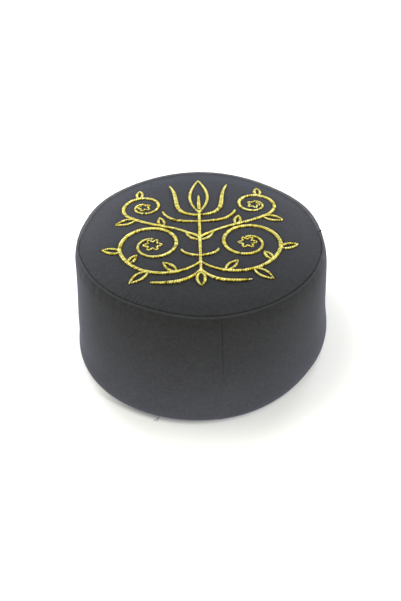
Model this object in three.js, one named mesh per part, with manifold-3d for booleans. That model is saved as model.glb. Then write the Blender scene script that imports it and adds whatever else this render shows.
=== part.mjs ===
// A round prayer cap of stiffened black cloth that stands on its hem, with a slightly domed top
// and a gold floral scroll in satin stitch. Millimetres, +Z up, origin on the floor at the middle.
import * as THREE from 'three';
import Module from 'manifold-3d';

// Driving sizes in millimetres
const HEAD_GIRTH = 575.6; // round the head, measured inside the hem
const HEIGHT = 91.8; // floor to the rolled edge at the top of the band
const TAPER = 7.45; // how far the seam round the top lies inside the hem
const WALL = 2.4; // band cloth with its stiffening
const PANEL = 1.8; // top cloth with its stiffening
const CROWN_RISE = 3.5; // middle of the top above its edge
const HEM_ROUND = 0.6; // rounding of the folded hem
const EDGE_ROLL = 0.9; // rolled cloth edge on each side of the seam round the top
const SEAM_SINK = 1.1; // the seam round the top lies this far below the rolled edges
const BAND_ALLOWANCE = 8; // the band's cloth turned down inside, past the seam round the top
const PANEL_ALLOWANCE = 3; // the panel's cloth turned down there, trimmed shorter
const OVAL_HEM = 1.9; // the hem is out of round by this much
const OVAL_TOP = 1.9; // the top is out of round the other way
const BUTT_WIDTH = 1.1; // half width of the groove along the band's upright seam
const BUTT_DEPTH = 0.35; // depth of that groove
const STITCH_WIDTH = 2.15; // satin stitch where it is widest on a plain stem
const STITCH_RISE = 0.9; // height of the raised satin stitch
const DESIGN_MARGIN = 6; // bare cloth between the seam and the circle that the embroidery is drawn in
const CLEAR = 0.3; // gap between cloth pieces, and below the stitches

// Directions in degrees, anticlockwise from +X seen from above
const BUTT_ANGLE = -82.3;
const OVAL_ANGLE = 45;

// How finely the shapes are cut up
const FACETS = 64;
const CURVE_SAMPLES = 64; // points along a stroke before thinning
const BEND_STEP = 19; // degrees of bend between two kept points
const LONG_STEP = 9; // millimetres between two kept points
const PETAL_FACETS = 7; // points for each lobe of a rosette

const HEM_RADIUS = HEAD_GIRTH / (2 * Math.PI) + WALL;
const SEAM_RADIUS = HEM_RADIUS - TAPER;
const DESIGN_RADIUS = SEAM_RADIUS - DESIGN_MARGIN;

// The band's outer line: up is a share of HEIGHT, out a share of TAPER outside the seam
const BAND_SECTIONS = [
  { up: 0, out: 1 },
  { up: 0.05, out: 1.21 },
  { up: 0.11, out: 1.235 },
  { up: 0.19, out: 1.14 },
  { up: 0.3, out: 1.02 },
  { up: 0.45, out: 0.875 },
  { up: 0.63, out: 0.715 },
  { up: 0.81, out: 0.58 },
  { up: 0.9, out: 0.47 },
  { up: 0.96, out: 0.32 },
];

// Soft dents and bulges: at is degrees round, up and tall are shares of HEIGHT, wide is degrees,
// deep is a share of WALL and negative where the cloth bulges
const DENTS = [
  { at: -5, up: 0.17, deep: -0.27, wide: 32, tall: 0.11 },
  { at: -5, up: 0.42, deep: 0.12, wide: 34, tall: 0.14 },
  { at: 184, up: 0.19, deep: 0.28, wide: 28, tall: 0.1 },
  { at: -148, up: 0.08, deep: -0.17, wide: 20, tall: 0.11 },
  { at: -36, up: 0.07, deep: 0.4, wide: 16, tall: 0.13 },
  { at: -74, up: 0.04, deep: -0.33, wide: 14, tall: 0.12 },
  { at: -120, up: 0.84, deep: 0.16, wide: 12, tall: 0.08 },
  { at: -100, up: 0.5, deep: 0.12, wide: 16, tall: 0.2 },
];

// Waves of the seam round the top: at and wide are degrees, out is a share of EDGE_ROLL
const SEAM_WAVES = [
  { at: -155, out: 0.46, wide: 16 },
  { at: -112, out: -1.36, wide: 15 },
  { at: -86, out: 0.53, wide: 10 },
  { at: 2, out: -0.42, wide: 10 },
  { at: 22, out: 0.65, wide: 12 },
  { at: 50, out: -0.86, wide: 14 },
  { at: 88, out: 1.06, wide: 16 },
  { at: 125, out: -0.9, wide: 18 },
  { at: 163, out: -1.09, wide: 13 },
  { at: 188, out: 0.88, wide: 10 },
];
const WAVE_START = 0.78; // share of HEIGHT above which the band follows the seam's waves

// Rows of the band's inner face, from the top down, as shares of HEIGHT
const INNER_ROWS = [0.68, 0.44, 0.24, 0.1];

// Rings of the top panel's domed face and of its underside, as shares of its radius
const FACE_RINGS = [0.2, 0.4, 0.58, 0.74, 0.86, 0.94];
const UNDER_RINGS = [0.4, 0.58, 0.74];

// The two rolled edges at the seam round the top: across is a share of EDGE_ROLL away from the
// seam, down a share of SEAM_SINK below the top of the roll
const BAND_ROLL = [
  { across: 1.1, down: 0.2 },
  { across: 0.55, down: 0 },
  { across: 0.1, down: 0.35 },
  { across: 0, down: 1 },
];
const PANEL_ROLL = [
  { across: 0, down: 1 },
  { across: 0.3, down: 0.35 },
];
const QUARTER_MID = 1 - Math.SQRT1_2; // how far the middle of a rounding lies from its corner lines

// The embroidery's tables hold places and lengths as shares of DESIGN_RADIUS and widths as shares of
// STITCH_WIDTH, for the right half. Directions are degrees. The left half mirrors it.
const LINES = [
  {
    name: 'stem', x: 0, y: -0.58, leave: 90, toX: 0, toY: 0.31, arrive: 90,
    pull: 0.3, from: 0.9, mid: 1.12, to: 1,
  },
  {
    name: 'pistil', x: 0, y: 0.3, leave: 90, toX: 0, toY: 0.6, arrive: 90,
    pull: 0.3, from: 0.9, mid: 1.3, to: 0.5,
  },
  {
    name: 'petal', x: 0, y: 0.27, leave: 4, toX: 0.275, toY: 0.8, arrive: 66,
    pull: 0.5, from: 0.8, mid: 1.55, to: 0.5,
  },
  {
    name: 'sepal', x: 0, y: 0.17, leave: 0, toX: 0.335, toY: 0.345, arrive: 72,
    pull: 0.45, from: 0.6, mid: 1.2, to: 0.6,
  },
  {
    name: 'foot', x: 0, y: -0.52, leave: -62, toX: 0.42, toY: -0.665, arrive: 8,
    pull: 0.4, from: 0.6, mid: 1.35, to: 0.5,
  },
  {
    name: 'waist', x: 0, y: -0.34, leave: 14, toX: 0.16, toY: -0.25, arrive: 75,
    pull: 0.4, from: 0.6, mid: 1.1, to: 0.7,
  },
];

// A scroll leaves the stem at x, y and winds into a volute about eyeX, eyeY
const SCROLLS = [
  {
    name: 'lower', x: 0, y: -0.42, leave: -48, pull: 0.46, eyeX: 0.415, eyeY: -0.165,
    outer: 0.292, inner: 0.082, start: -12, sweep: 470, from: 0.85, mid: 1.4, to: 0.7,
  },
  {
    name: 'upper', x: 0, y: -0.08, leave: 42, pull: 0.42, eyeX: 0.51, eyeY: 0.435,
    outer: 0.205, inner: 0.062, start: -52, sweep: 470, from: 0.8, mid: 1.3, to: 0.65,
  },
];

// A leaf is two strokes: on and at name a line and a share of its length, off is degrees from it
const LEAVES = [
  { on: 'lower', at: 0.2, off: -62, long: 0.2, belly: 0.34 },
  { on: 'lower', at: 0.36, off: -58, long: 0.165, belly: 0.36 },
  { on: 'lower', at: 0.1, off: 62, long: 0.17, belly: 0.32 },
  { on: 'lower', at: 0.285, off: 70, long: 0.125, belly: 0.36 },
  { on: 'upper', at: 0.36, off: -52, long: 0.19, belly: 0.36 },
  { on: 'upper', at: 0.21, off: 58, long: 0.14, belly: 0.34 },
  { on: 'upper', at: 0.62, off: -80, long: 0.145, belly: 0.36 },
  { on: 'stem', at: 0.53, off: -48, long: 0.165, belly: 0.32 },
  { on: 'stem', at: 1, off: 0, long: 0.59, belly: 0.23 },
  { on: 'stem', at: 0.02, off: 180, long: 0.17, belly: 0.4 },
];
const LEAF_STROKE = { from: 0.5, mid: 1, to: 0.45 };
const LEAF_PULL = 0.42;
const LEAF_OPEN = 2.6; // tangent of the angle at a leaf's base, for a belly of one
const LEAF_CLOSE = 0.72; // a leaf closes at this share of the angle at its base

// A rosette sits in the eye of a scroll
const ROSETTES = [
  { on: 'lower', radius: 0.062, lobes: 6, lobe: 0.28 },
  { on: 'upper', radius: 0.047, lobes: 5, lobe: 0.28 },
];
const ROSETTE_STROKE = { from: 0.62, mid: 0.62, to: 0.62 };

// The section of a raised stroke: a share of half its width to its right, and a height
const RIDGE_TOP = 0.6;
const RIDGE = [[1, 0], [-1, 0], [-RIDGE_TOP, STITCH_RISE], [RIDGE_TOP, STITCH_RISE]];

const radians = THREE.MathUtils.degToRad;
const degrees = THREE.MathUtils.radToDeg;

// Angle between two directions in degrees, from -180 to 180
function turnBetween(a, b) {
  return THREE.MathUtils.euclideanModulo(a - b + 180, 360) - 180;
}

// The out column of a table at any height, on a smooth curve through its rows
function smoothOut(rows, up) {
  const last = rows.length - 1;
  let i = 0;
  while (i < last - 1 && up > rows[i + 1].up) i += 1;
  const slope = (k) => {
    const low = rows[Math.max(k - 1, 0)];
    const high = rows[Math.min(k + 1, last)];
    return (high.out - low.out) / (high.up - low.up);
  };
  const span = rows[i + 1].up - rows[i].up;
  const t = Math.min(Math.max((up - rows[i].up) / span, 0), 1);
  const hold = (1 + 2 * t) * (1 - t) * (1 - t) * rows[i].out + t * t * (3 - 2 * t) * rows[i + 1].out;
  return hold + span * (t * (1 - t) * (1 - t) * slope(i) - t * t * (1 - t) * slope(i + 1));
}

// How far the hem and the top are out of round in a direction, changing over the height
function oval(angle, up) {
  const wave = Math.cos(radians(2 * (angle - OVAL_ANGLE)));
  return (OVAL_HEM * (1 - up) - OVAL_TOP * up) * wave;
}

// How far the seam round the top waves outwards in a direction
function seamWave(angle) {
  let out = 0;
  for (const wave of SEAM_WAVES) {
    const round = turnBetween(angle, wave.at) / wave.wide;
    out += EDGE_ROLL * wave.out * Math.exp(-round * round);
  }
  return out;
}

// Radius of the seam round the top, where the band and the panel meet
function seamRadius(angle) {
  return SEAM_RADIUS + oval(angle, 1) + seamWave(angle);
}

// Radius of the band's outer face
function bandRadius(angle, up) {
  let radius = SEAM_RADIUS + TAPER * smoothOut(BAND_SECTIONS, up) + oval(angle, up);
  radius += seamWave(angle) * THREE.MathUtils.smoothstep(up, WAVE_START, 1);
  for (const dent of DENTS) {
    const round = turnBetween(angle, dent.at) / dent.wide;
    const high = (up - dent.up) / dent.tall;
    radius -= WALL * dent.deep * Math.exp(-round * round - high * high);
  }
  const fromButt = Math.abs(radians(turnBetween(angle, BUTT_ANGLE))) * HEM_RADIUS;
  return radius - BUTT_DEPTH * Math.max(0, 1 - fromButt / BUTT_WIDTH);
}

// Height of the top panel's outer face at a share of its radius
function crownHeight(share) {
  return HEIGHT + CROWN_RISE * (1 - share ** 3);
}

// Directions of the facets, with three more across the upright seam
function facetAngles() {
  const angles = [];
  for (let i = 0; i < FACETS; i += 1) {
    angles.push((360 * (i + 0.5)) / FACETS - 180);
  }
  const half = degrees(BUTT_WIDTH / HEM_RADIUS);
  const butt = [BUTT_ANGLE - half, BUTT_ANGLE, BUTT_ANGLE + half];
  const far = angles.filter((angle) => butt.every((b) => Math.abs(turnBetween(angle, b)) > half / 2));
  return [...far, ...butt].sort((a, b) => a - b);
}

// A solid from one [radius, height] section for each direction, which runs anticlockwise with the
// axis on its left, and either closes on itself or starts and ends on the axis
function turnedBody(angles, sectionAt) {
  const sections = angles.map(sectionAt);
  const count = sections[0].length;
  const onAxis = sections[0].map(([radius]) => radius === 0);
  const closed = !onAxis.some(Boolean);
  const positions = [];
  const index = [];
  const corner = sections.map((section, i) => section.map(([radius, height], j) => {
    if (onAxis[j] && i > 0) return -1;
    const a = radians(angles[i]);
    positions.push(radius * Math.cos(a), radius * Math.sin(a), height);
    return positions.length / 3 - 1;
  }));
  const at = (i, j) => (onAxis[j] ? corner[0][j] : corner[i % angles.length][j]);
  for (let i = 0; i < angles.length; i += 1) {
    for (let j = 0; j < (closed ? count : count - 1); j += 1) {
      const k = (j + 1) % count;
      if (!onAxis[j]) index.push(at(i, j), at(i + 1, j), at(i + 1, k));
      if (!onAxis[k]) index.push(at(i, j), at(i + 1, k), at(i, k));
    }
  }
  return meshGeometry(positions, index);
}

function meshGeometry(positions, index) {
  const geometry = new THREE.BufferGeometry();
  geometry.setAttribute('position', new THREE.Float32BufferAttribute(positions, 3));
  geometry.setIndex(index);
  geometry.computeVertexNormals();
  return geometry;
}

// The band: hem, outer face, rolled edge, turned-in allowance and inner face
function bandSection(angle) {
  const outer = (up) => bandRadius(angle, up);
  const seam = seamRadius(angle);
  const fold = HEIGHT - SEAM_SINK - BAND_ALLOWANCE;
  const section = [
    [outer(0) - HEM_ROUND, 0],
    [outer(0) - QUARTER_MID * HEM_ROUND, QUARTER_MID * HEM_ROUND],
    [outer(0), HEM_ROUND],
  ];
  for (const row of BAND_SECTIONS.slice(1)) {
    section.push([outer(row.up), row.up * HEIGHT]);
  }
  for (const row of BAND_ROLL) {
    section.push([seam + row.across * EDGE_ROLL, HEIGHT - row.down * SEAM_SINK]);
  }
  section.push([seam, fold]);
  section.push([outer(fold / HEIGHT) - WALL, fold - CLEAR]);
  for (const up of INNER_ROWS) {
    section.push([outer(up) - WALL, up * HEIGHT]);
  }
  section.push([outer(0) - WALL, HEM_ROUND]);
  section.push([outer(0) - WALL + HEM_ROUND, 0]);
  return section;
}

// The panel: underside, turned-down allowance, rolled edge and domed face
function panelSection(angle) {
  const rim = seamRadius(angle) - CLEAR;
  const flat = 1 - EDGE_ROLL / rim;
  const low = HEIGHT - SEAM_SINK - PANEL_ALLOWANCE;
  const section = [[0, crownHeight(0) - PANEL]];
  for (const share of UNDER_RINGS) {
    section.push([rim * share, crownHeight(share) - PANEL]);
  }
  section.push([rim - EDGE_ROLL - PANEL, crownHeight(flat) - PANEL - EDGE_ROLL / 2]);
  section.push([rim - PANEL, HEIGHT - SEAM_SINK - PANEL]);
  section.push([rim - PANEL, low]);
  section.push([rim, low]);
  for (const row of PANEL_ROLL) {
    section.push([rim - row.across * EDGE_ROLL, HEIGHT - row.down * SEAM_SINK]);
  }
  section.push([rim * flat, crownHeight(flat)]);
  for (const share of [...FACE_RINGS].reverse()) {
    section.push([rim * share, crownHeight(share)]);
  }
  section.push([0, crownHeight(0)]);
  return section;
}

// A point at a radius and an angle in radians from a scroll's eye
function aroundEye(scroll, radius, angle) {
  const x = scroll.eyeX + radius * Math.cos(angle);
  return new THREE.Vector2(x, scroll.eyeY + radius * Math.sin(angle));
}

// A curve from one place and direction to another, as evenly spread points
function bezierPoints(x, y, leave, toX, toY, arrive, pull) {
  const start = new THREE.Vector2(x, y);
  const end = new THREE.Vector2(toX, toY);
  const arm = pull * start.distanceTo(end);
  const out = new THREE.Vector2(arm * Math.cos(radians(leave)), arm * Math.sin(radians(leave)));
  const back = new THREE.Vector2(arm * Math.cos(radians(arrive)), arm * Math.sin(radians(arrive)));
  const curve = new THREE.CubicBezierCurve(start, start.clone().add(out), end.clone().sub(back), end);
  return curve.getSpacedPoints(CURVE_SAMPLES);
}

function scrollPoints(row) {
  const start = radians(row.start);
  const meet = aroundEye(row, row.outer, start);
  const points = bezierPoints(row.x, row.y, row.leave, meet.x, meet.y, row.start + 90, row.pull);
  for (let i = 1; i <= 2 * CURVE_SAMPLES; i += 1) {
    const t = i / (2 * CURVE_SAMPLES);
    const radius = THREE.MathUtils.lerp(row.outer, row.inner, t);
    points.push(aroundEye(row, radius, start + radians(row.sweep) * t));
  }
  return points;
}

// Place and direction at a share of the length of a line of points
function along(points, share) {
  const lengths = [0];
  for (let i = 1; i < points.length; i += 1) {
    lengths.push(lengths[i - 1] + points[i].distanceTo(points[i - 1]));
  }
  const goal = share * lengths[lengths.length - 1];
  let i = 1;
  while (i < points.length - 1 && lengths[i] < goal) i += 1;
  const t = (goal - lengths[i - 1]) / (lengths[i] - lengths[i - 1]);
  const step = points[i].clone().sub(points[i - 1]);
  return { place: points[i - 1].clone().addScaledVector(step, t), heading: degrees(step.angle()) };
}

// The two sides of a leaf
function leafSides(row, points) {
  const { place, heading } = along(points, row.at);
  const way = heading + row.off;
  const tipX = place.x + row.long * Math.cos(radians(way));
  const tipY = place.y + row.long * Math.sin(radians(way));
  const open = degrees(Math.atan(row.belly * LEAF_OPEN));
  return [1, -1].map((side) => bezierPoints(
    place.x, place.y, way + side * open, tipX, tipY, way - side * open * LEAF_CLOSE, LEAF_PULL,
  ));
}

// A lobed ring in the eye of a scroll, with its ends overlapping
function rosettePoints(row, scroll) {
  const points = [];
  const count = row.lobes * PETAL_FACETS;
  for (let i = 0; i <= count + 1; i += 1) {
    const angle = (2 * Math.PI * i) / count;
    const radius = row.radius * (1 + row.lobe * Math.cos(row.lobes * angle));
    points.push(aroundEye(scroll, radius, angle));
  }
  return points;
}

// Every stroke of the embroidery: its points in shares and its widths
function designStrokes() {
  const strokes = [];
  const named = {};
  for (const row of LINES) {
    named[row.name] = bezierPoints(row.x, row.y, row.leave, row.toX, row.toY, row.arrive, row.pull);
    strokes.push({ points: named[row.name], width: row });
  }
  for (const row of SCROLLS) {
    named[row.name] = scrollPoints(row);
    strokes.push({ points: named[row.name], width: row });
  }
  for (const row of LEAVES) {
    for (const points of leafSides(row, named[row.on])) {
      strokes.push({ points, width: LEAF_STROKE });
    }
  }
  for (const row of ROSETTES) {
    const scroll = SCROLLS.find(({ name }) => name === row.on);
    strokes.push({ points: rosettePoints(row, scroll), width: ROSETTE_STROKE, whole: true });
  }
  return strokes;
}

// Points in millimetres, thinned to those that the bend and the length need, with their share of
// the length
function thinned(points, whole) {
  const lengths = [0];
  for (let i = 1; i < points.length; i += 1) {
    lengths.push(lengths[i - 1] + points[i].distanceTo(points[i - 1]));
  }
  const total = lengths[lengths.length - 1];
  const kept = [];
  let bend = 0;
  let since = 0;
  points.forEach((point, i) => {
    if (i > 1) {
      const before = points[i - 1].clone().sub(points[i - 2]).angle();
      const after = point.clone().sub(points[i - 1]).angle();
      bend += Math.abs(turnBetween(degrees(after), degrees(before)));
    }
    if (i > 0) since += (lengths[i] - lengths[i - 1]) * DESIGN_RADIUS;
    if (whole || i === 0 || i === points.length - 1 || bend > BEND_STEP || since > LONG_STEP) {
      kept.push({ place: point.clone().multiplyScalar(DESIGN_RADIUS), share: lengths[i] / total });
      bend = 0;
      since = 0;
    }
  });
  return kept;
}

// Width at a share of the length, on a parabola through the three values of the row
function strokeWidth(row, share) {
  const rest = 1 - share;
  const pull = 2 * row.mid - (row.from + row.to) / 2;
  return STITCH_WIDTH * (row.from * rest ** 2 + 2 * pull * share * rest + row.to * share ** 2);
}

// A flat-bottomed ridge along a stroke, as vertices and triangles
function strokeSolid(wasm, stroke, side) {
  const kept = thinned(stroke.points, stroke.whole);
  const places = kept.map(({ place }) => new THREE.Vector2(place.x * side, place.y));
  const vertices = [];
  const triangles = [];
  places.forEach((place, i) => {
    const before = places[Math.max(i - 1, 0)];
    const after = places[Math.min(i + 1, places.length - 1)];
    const way = after.clone().sub(before).normalize();
    const half = strokeWidth(stroke.width, kept[i].share) / 2;
    for (const [across, rise] of RIDGE) {
      vertices.push(place.x + way.y * across * half, place.y - way.x * across * half, rise);
    }
    if (i === 0) return;
    const base = 4 * (i - 1);
    for (let j = 0; j < 4; j += 1) {
      const k = (j + 1) % 4;
      triangles.push(base + j, base + k, base + k + 4, base + j, base + k + 4, base + j + 4);
    }
  });
  const end = 4 * (places.length - 1);
  triangles.push(0, 3, 2, 0, 2, 1);
  triangles.push(end, end + 1, end + 2, end, end + 2, end + 3);
  const mesh = new wasm.Mesh({
    numProp: 3,
    vertProperties: new Float32Array(vertices),
    triVerts: new Uint32Array(triangles),
  });
  return new wasm.Manifold(mesh);
}

// The whole ornament: the strokes joined lying flat, then laid over the domed panel
async function embroideryGeometry() {
  const wasm = await Module();
  wasm.setup();
  let whole = null;
  for (const stroke of designStrokes()) {
    const onAxis = stroke.points.every((point) => Math.abs(point.x) < 1e-9);
    for (const side of onAxis ? [1] : [1, -1]) {
      const solid = strokeSolid(wasm, stroke, side);
      whole = whole ? whole.add(solid) : solid;
    }
  }
  const { vertProperties, triVerts, numProp } = whole.getMesh();
  const positions = [];
  for (let i = 0; i < vertProperties.length; i += numProp) {
    const [x, y, z] = vertProperties.slice(i, i + 3);
    const share = Math.hypot(x, y) / (seamRadius(degrees(Math.atan2(y, x))) - CLEAR);
    positions.push(x, y, z + crownHeight(share) + CLEAR);
  }
  return meshGeometry(positions, Array.from(triVerts));
}

const cloth = new THREE.MeshStandardMaterial({ color: 0x1d1d21, roughness: 0.92, metalness: 0 });
const topCloth = new THREE.MeshStandardMaterial({ color: 0x202024, roughness: 0.9, metalness: 0 });
const goldThread = new THREE.MeshStandardMaterial({ color: 0xd9bc4a, roughness: 0.45, metalness: 0.35 });

function piece(name, geometry, material) {
  const mesh = new THREE.Mesh(geometry, material);
  mesh.name = name;
  return mesh;
}

const angles = facetAngles();
const cap = new THREE.Group();
cap.name = 'prayer_cap';
cap.add(piece('side_band', turnedBody(angles, bandSection), cloth));
cap.add(piece('top_panel', turnedBody(angles, panelSection), topCloth));
cap.add(piece('gold_embroidery', await embroideryGeometry(), goldThread));

export default cap;
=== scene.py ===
# A round prayer cap of stiffened black cloth with a gold floral scroll in satin stitch.
# Shapes are worked out in millimetres and turned into metres where a mesh is made.
import math

import bpy
import numpy as np
from mathutils import Matrix, Vector
from mathutils.kdtree import KDTree


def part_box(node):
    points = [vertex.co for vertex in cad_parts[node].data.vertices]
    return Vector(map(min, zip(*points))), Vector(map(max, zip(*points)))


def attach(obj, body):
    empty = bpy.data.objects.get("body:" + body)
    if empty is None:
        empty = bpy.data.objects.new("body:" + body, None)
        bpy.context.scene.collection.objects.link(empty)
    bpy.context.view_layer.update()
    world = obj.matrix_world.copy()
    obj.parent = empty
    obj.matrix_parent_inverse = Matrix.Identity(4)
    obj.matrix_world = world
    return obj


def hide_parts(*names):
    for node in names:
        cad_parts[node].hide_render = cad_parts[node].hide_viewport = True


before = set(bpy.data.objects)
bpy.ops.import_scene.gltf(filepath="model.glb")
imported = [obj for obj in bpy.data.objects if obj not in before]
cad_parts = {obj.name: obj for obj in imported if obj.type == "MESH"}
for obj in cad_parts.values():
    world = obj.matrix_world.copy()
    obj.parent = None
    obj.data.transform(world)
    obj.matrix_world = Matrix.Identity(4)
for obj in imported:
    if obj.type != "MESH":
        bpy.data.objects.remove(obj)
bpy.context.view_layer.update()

MM = 0.001
rng = np.random.default_rng(11)

# Sizes in millimetres that the solids have too
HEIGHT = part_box("side_band")[1][2] / MM
CROWN_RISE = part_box("top_panel")[1][2] / MM - HEIGHT
HEM_RADIUS = 94.01
TAPER = 7.45
WALL = 2.4
PANEL = 1.8
HEM_ROUND = 0.6
EDGE_ROLL = 0.9
SEAM_SINK = 1.1
BAND_ALLOWANCE = 8.0
PANEL_ALLOWANCE = 3.0
OVAL_HEM = 1.9
OVAL_TOP = 1.9
DESIGN_MARGIN = 6.0
STITCH_WIDTH = 2.15
CLEAR = 0.3
SEAM_RADIUS = HEM_RADIUS - TAPER
DESIGN_RADIUS = SEAM_RADIUS - DESIGN_MARGIN

# Directions in degrees, anticlockwise from +X seen from above
BUTT_ANGLE = -82.3
OVAL_ANGLE = 45.0

# The band's outer line: a share of HEIGHT, and a share of TAPER outside the seam
BAND_UP = np.array([0, 0.05, 0.11, 0.19, 0.3, 0.45, 0.63, 0.81, 0.9, 0.96])
BAND_OUT = np.array([1, 1.21, 1.235, 1.14, 1.02, 0.875, 0.715, 0.58, 0.47, 0.32])

# Soft dents: degrees round, height, depth as a share of WALL, degrees wide, spread over the height
DENTS = [
    dict(at=-5, up=0.17, deep=-0.27, wide=32, tall=0.11),
    dict(at=-5, up=0.42, deep=0.12, wide=34, tall=0.14),
    dict(at=184, up=0.19, deep=0.28, wide=28, tall=0.1),
    dict(at=-148, up=0.08, deep=-0.17, wide=20, tall=0.11),
    dict(at=-36, up=0.07, deep=0.4, wide=16, tall=0.13),
    dict(at=-74, up=0.04, deep=-0.33, wide=14, tall=0.12),
    dict(at=-120, up=0.84, deep=0.16, wide=12, tall=0.08),
    dict(at=-100, up=0.5, deep=0.12, wide=16, tall=0.2),
]

# Waves of the seam round the top: degrees round, share of EDGE_ROLL outwards, degrees wide
SEAM_WAVES = [
    dict(at=-155, out=0.46, wide=16),
    dict(at=-112, out=-1.36, wide=15),
    dict(at=-86, out=0.53, wide=10),
    dict(at=2, out=-0.42, wide=10),
    dict(at=22, out=0.65, wide=12),
    dict(at=50, out=-0.86, wide=14),
    dict(at=88, out=1.06, wide=16),
    dict(at=125, out=-0.9, wide=18),
    dict(at=163, out=-1.09, wide=13),
    dict(at=188, out=0.88, wide=10),
]
# They fade down the band to this share of HEIGHT
WAVE_START = 0.78

# The top's face: its rounded rim as a share of EDGE_ROLL, and how it falls towards the groove
RIM_ROUND = 1.3
RIM_FALL = 0.3
RIM_REACH = 8.0


def turn_between(a, b):
    """Angle from b to a in degrees, from -180 to 180."""
    return (a - b + 180) % 360 - 180


def smoothstep(x, low, high):
    """0 below low and 1 above high, with a smooth change between them."""
    t = np.clip((x - low) / (high - low), 0, 1)
    return t * t * (3 - 2 * t)


def smooth_out(up):
    """BAND_OUT at any height, on a smooth curve through its rows."""
    last = len(BAND_UP) - 1
    low = np.maximum(np.arange(last + 1) - 1, 0)
    high = np.minimum(np.arange(last + 1) + 1, last)
    slope = (BAND_OUT[high] - BAND_OUT[low]) / (BAND_UP[high] - BAND_UP[low])
    i = np.clip(np.searchsorted(BAND_UP, up, side="right") - 1, 0, last - 1)
    span = BAND_UP[i + 1] - BAND_UP[i]
    t = np.clip((up - BAND_UP[i]) / span, 0, 1)
    rest = 1 - t
    hold = (1 + 2 * t) * rest * rest * BAND_OUT[i] + t * t * (3 - 2 * t) * BAND_OUT[i + 1]
    return hold + span * (t * rest * rest * slope[i] - t * t * rest * slope[i + 1])


def oval(angle, up):
    """How far the cap is out of round, one way at the hem and the other at the top."""
    wave = np.cos(np.radians(2 * (angle - OVAL_ANGLE)))
    return (OVAL_HEM * (1 - up) - OVAL_TOP * up) * wave


def seam_wave(angle):
    """How far the seam round the top waves outwards."""
    out = np.zeros_like(angle)
    for wave in SEAM_WAVES:
        away = turn_between(angle, wave["at"]) / wave["wide"]
        out = out + EDGE_ROLL * wave["out"] * np.exp(-away ** 2)
    return out


def seam_radius(angle):
    """Radius of the seam round the top."""
    return SEAM_RADIUS + oval(angle, 1) + seam_wave(angle)


def band_radius(angle, up):
    """Radius of the band's outer face before its fine relief."""
    radius = SEAM_RADIUS + TAPER * smooth_out(up) + oval(angle, up)
    radius = radius + seam_wave(angle) * smoothstep(up, WAVE_START, 1)
    for dent in DENTS:
        away = turn_between(angle, dent["at"]) / dent["wide"]
        high = (up - dent["up"]) / dent["tall"]
        radius = radius - WALL * dent["deep"] * np.exp(-away ** 2 - high ** 2)
    return radius


def hem_radius(angle):
    """Radius of the hem."""
    return band_radius(angle, np.zeros_like(angle))


def crown_height(share):
    """Height of the domed top at a share of its radius."""
    return HEIGHT + CROWN_RISE * (1 - share ** 3)


def in_from_rim(radius, rim):
    """Distance in from the top's rounded rim to a radius on its face."""
    return rim - radius / (1 - RIM_ROUND * EDGE_ROLL / rim)


def face_height(radius, rim):
    """Height of the top's face, which falls a little near the rim."""
    return crown_height(radius / rim) - RIM_FALL * np.exp(-(in_from_rim(radius, rim) / RIM_REACH) ** 2)


# Fine relief of the cloth, in millimetres and degrees

# Puckers beside the seams, strongest at one place. A wave is a count round the cap, a phase and a share.
PUCKER_DEPTH = 0.2
PUCKER_REACH = 9.0
PUCKER_WAVES = [(53, 0.4, 0.5), (79, 2.1, 0.32), (127, 4.4, 0.18)]
PUCKER_AT = -125
PUCKER_WIDE = 32
PUCKER_LEAST = 0.45
PUCKER_MORE = 0.9
# The top's puckers are weaker, and a little further round
RIM_PUCKER = 0.3
RIM_PUCKER_TURN = 1.3

# A few gathers in the top's cloth at the front left
GATHER_DEPTH = 0.22
GATHER_COUNT = 165
GATHER_AT = -123
GATHER_WIDE = 9
GATHER_REACH = 5.5

# The band's cloth lies fuller than the solid's and is slack in slow waves, which calm down, at shares
# of HEIGHT, near the hem and the top. A wave is a count round the cap, a phase and its bends up the band.
SLACK_DEPTH = 0.16
SLACK_SWELL = 0.35
SLACK_WAVES = [(3, 0.7, 0.8), (5, 2.6, 1.3), (8, 4.1, 2.1), (13, 1.2, 3.2), (19, 5.0, 2.7)]
CALM_HEM = 0.08
CALM_TOP = 0.9

# The upright seam: its groove, which grows over some shares of HEIGHT, and the cloth turned in on each
# side of it, which makes a step that ends softly, lower on the right, with a ridge midway on the left
BUTT_DEPTH = 0.62
BUTT_HALF = 0.36
BUTT_FAINT = 0.2
BUTT_GROWS = (0.12, 0.6)
BUTT_ALLOWANCE = 3.4
BUTT_STEP = 0.19
BUTT_LEFT_SOFT = 0.5
BUTT_RIGHT_SOFT = 0.7
BUTT_RIGHT = 0.5
BUTT_RIDGE = 0.5

# The cloth of the top is pulled down beside the stitches
PULL_DEPTH = 0.16
PULL_REACH = 1.3

# The groove at the seam round the top is deep at the front and shallow at the sides and the back,
# where the fold outside it is wider and lies a little lower
GROOVE_DEEP = 1.2
GROOVE_SHALLOW = 0.25
GROOVE_GAP = 0.26
GROOVE_SHUT = 0.07
FOLD_WIDER = 1.7
FOLD_FALL = 0.05
FOLD_OUT = 0.3
# The change between them, as a share of the radius to each side of the cap's middle
SIDE_CHANGE = 0.2


def puckers(angle, distance):
    """Small gathers that fade with the distance from a seam, strongest at the front left."""
    a = np.radians(angle)
    wave = sum(size * np.sin(count * a + phase) for count, phase, size in PUCKER_WAVES)
    strength = PUCKER_LEAST + PUCKER_MORE * np.exp(-(turn_between(angle, PUCKER_AT) / PUCKER_WIDE) ** 2)
    return PUCKER_DEPTH * wave * strength * np.exp(-(distance / PUCKER_REACH) ** 2)


def gathers(angle, distance):
    """A few close folds that fade round the cap and with the distance from the rim."""
    away = (turn_between(angle, GATHER_AT) / GATHER_WIDE) ** 2 + (distance / GATHER_REACH) ** 2
    return GATHER_DEPTH * np.sin(GATHER_COUNT * np.radians(angle)) * np.exp(-away)


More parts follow.
